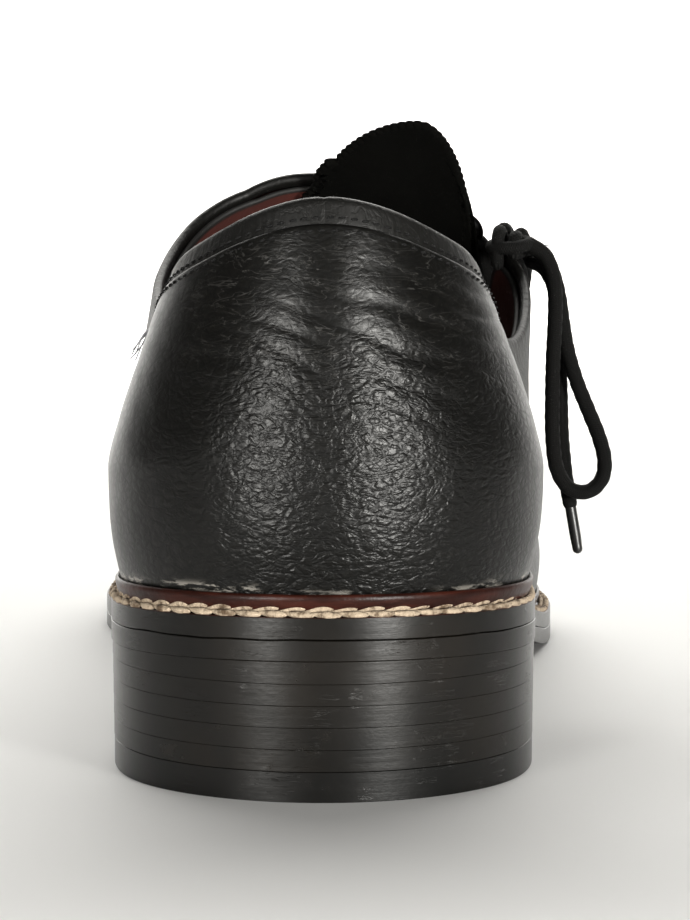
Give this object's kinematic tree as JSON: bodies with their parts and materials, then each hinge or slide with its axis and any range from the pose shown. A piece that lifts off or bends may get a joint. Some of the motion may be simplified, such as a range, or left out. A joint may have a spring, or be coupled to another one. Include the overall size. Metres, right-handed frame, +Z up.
{
  "type": "haferl shoe",
  "caption": "Right haferl shoe: a low black leather folk shoe with lacing on its outer side, a pinked suede tongue, a braided welt seam and a stacked heel.",
  "frame": {"origin": "on the floor, under the middle of the box of the shoe without its free lace", "axes": "+Y towards the toe, +X towards the outer (lateral) side of the foot, +Z up"},
  "size_m": [0.1081, 0.301, 0.113],
  "materials": {
    "grain_leather": "smooth black leather, satin",
    "panel_leather": "pebble-grained black leather, satin",
    "suede": "black suede, matt",
    "welt_leather": "dark red-brown leather, glossy",
    "sole_leather": "black edge ink, satin",
    "heel_leather": "stacked leather under black edge ink, satin",
    "heel_rubber": "satin black rubber",
    "lining": "dark red lining leather, matt",
    "lace": "black round braided lace",
    "aglet": "black plastic sleeve"
  },
  "bodies": {
    "root": {"upper": "grain_leather", "heel_panel": "panel_leather", "tongue": "suede", "insole": "lining", "welt": "welt_leather", "midsole": "sole_leather", "outsole": "sole_leather", "heel_wedge": "heel_leather", "heel_lift_1": "heel_leather", "heel_lift_2": "heel_leather", "heel_lift_3": "heel_leather", "heel_lift_4": "heel_leather", "top_piece": "heel_rubber", "lace_bars": "lace", "lace_knot": "lace", "lace_loop": "lace", "lace_loop_far": "lace", "lace_end": "lace", "lace_end_far": "lace", "aglet": "aglet", "aglet_far": "aglet"}
  },
  "joints": []
}
